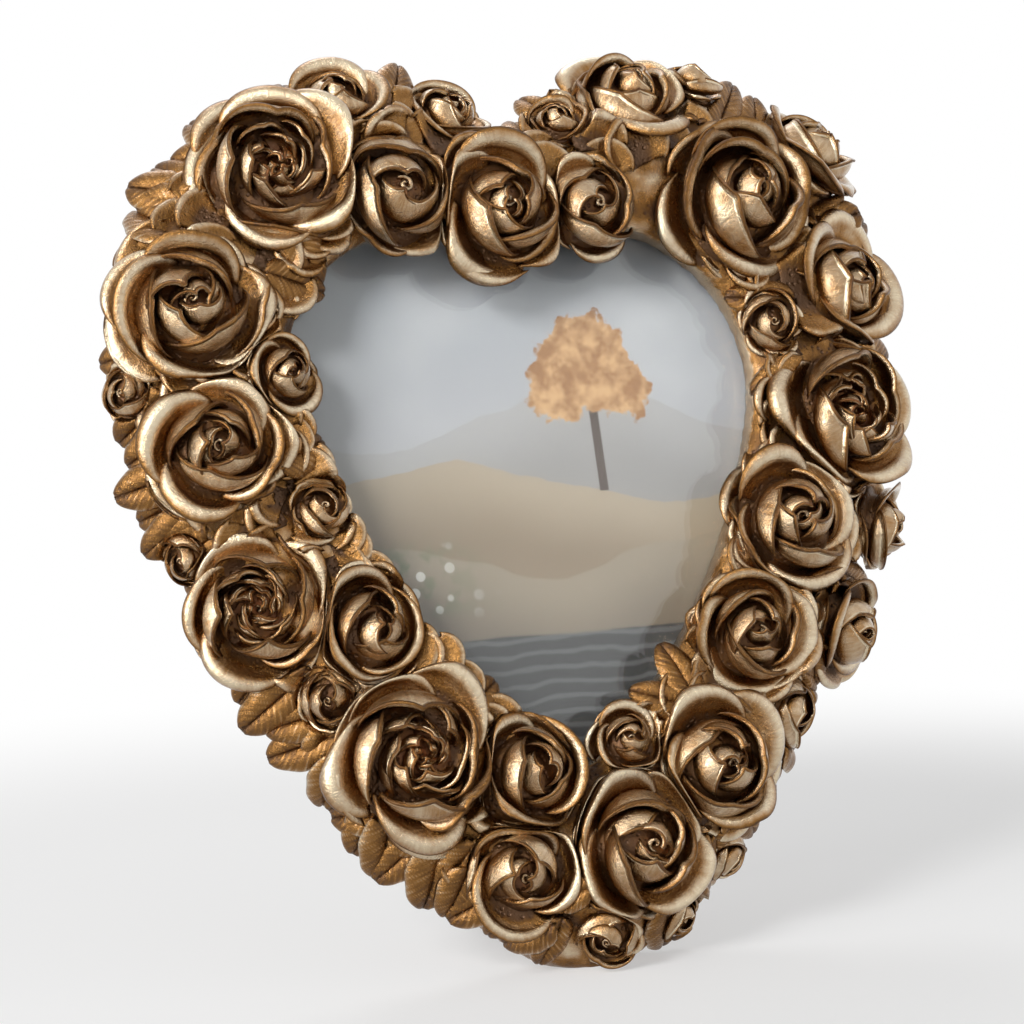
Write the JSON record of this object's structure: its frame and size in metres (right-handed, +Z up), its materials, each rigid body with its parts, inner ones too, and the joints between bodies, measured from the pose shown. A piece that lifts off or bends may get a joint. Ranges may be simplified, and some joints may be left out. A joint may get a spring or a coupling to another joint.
{
  "type": "photo frame",
  "caption": "Heart shaped photo frame with a rail of cast roses, a glazed heart picture and a folding easel leg at the back.",
  "frame": {"origin": "middle of the flat under the tip that the frame stands on", "axes": "+Z up, +X to the viewer's right, front facing -Y and leaning back 16 degrees"},
  "size_m": [0.1634, 0.0641, 0.166],
  "materials": {
    "antique_gold": "cast resin with antique gold paint and brown patina in the hollows",
    "clear_glass": "clear float glass",
    "print_paper": "satin print",
    "grey_card": "grey board",
    "black_velvet_board": "fibreboard covered in black velvet paper",
    "zinc_steel": "zinc plated steel",
    "brass_screw": "brass plated"
  },
  "bodies": {
    "frame": {"back_panel": "black_velvet_board", "backing_card": "grey_card", "bud_01": "antique_gold", "bud_02": "antique_gold", "bud_03": "antique_gold", "bud_04": "antique_gold", "bud_05": "antique_gold", "bud_06": "antique_gold", "bud_07": "antique_gold", "bud_08": "antique_gold", "bud_09": "antique_gold", "bud_10": "antique_gold", "bud_11": "antique_gold", "bud_12": "antique_gold", "button_screws": "brass_screw", "frame_rail": "antique_gold", "glass_pane": "clear_glass", "hinge_pin": "zinc_steel", "hinge_plate": "zinc_steel", "leaves_inner_left": "antique_gold", "leaves_inner_right": "antique_gold", "leaves_left": "antique_gold", "leaves_lower_left": "antique_gold", "leaves_right": "antique_gold", "leaves_top_left": "antique_gold", "leaves_top_right": "antique_gold", "photo_print": "print_paper", "plate_rivets": "zinc_steel", "rose_01": "antique_gold", "rose_02": "antique_gold", "rose_03": "antique_gold", "rose_04": "antique_gold", "rose_05": "antique_gold", "rose_06": "antique_gold", "rose_07": "antique_gold", "rose_08": "antique_gold", "rose_09": "antique_gold", "rose_10": "antique_gold", "rose_11": "antique_gold", "rose_12": "antique_gold", "rose_13": "antique_gold", "rose_14": "antique_gold", "rose_15": "antique_gold", "rose_16": "antique_gold", "rose_17": "antique_gold", "rose_18": "antique_gold", "rose_19": "antique_gold", "rose_20": "antique_gold", "rose_21": "antique_gold", "rose_22": "antique_gold", "rose_23": "antique_gold", "rose_24": "antique_gold", "rose_25": "antique_gold"},
    "easel_leg": {"easel_leg": "black_velvet_board", "hinge_leaf": "zinc_steel", "leaf_rivets": "zinc_steel"},
    "turn_button_1": {"turn_button_1": "zinc_steel"},
    "turn_button_2": {"turn_button_2": "zinc_steel"},
    "turn_button_3": {"turn_button_3": "zinc_steel"},
    "turn_button_4": {"turn_button_4": "zinc_steel"}
  },
  "joints": [
    {"name": "easel_leg_fold", "type": "hinge", "parent": "frame", "child": "easel_leg", "pos_m": [0, 0.03182, 0.09245], "axis": [1, 0, 0], "range_deg": [-20, 0]},
    {"name": "turn_button_1_spin", "type": "hinge", "parent": "frame", "child": "turn_button_1", "pos_m": [0.04007, 0.04214, 0.13609], "axis": [0, -0.9613, 0.2756], "continuous": true},
    {"name": "turn_button_2_spin", "type": "hinge", "parent": "frame", "child": "turn_button_2", "pos_m": [0.04175, 0.02017, 0.05946], "axis": [0, -0.9613, 0.2756], "continuous": true},
    {"name": "turn_button_3_spin", "type": "hinge", "parent": "frame", "child": "turn_button_3", "pos_m": [-0.04175, 0.02017, 0.05946], "axis": [0, -0.9613, 0.2756], "continuous": true},
    {"name": "turn_button_4_spin", "type": "hinge", "parent": "frame", "child": "turn_button_4", "pos_m": [-0.04007, 0.04214, 0.13609], "axis": [0, -0.9613, 0.2756], "continuous": true}
  ]
}
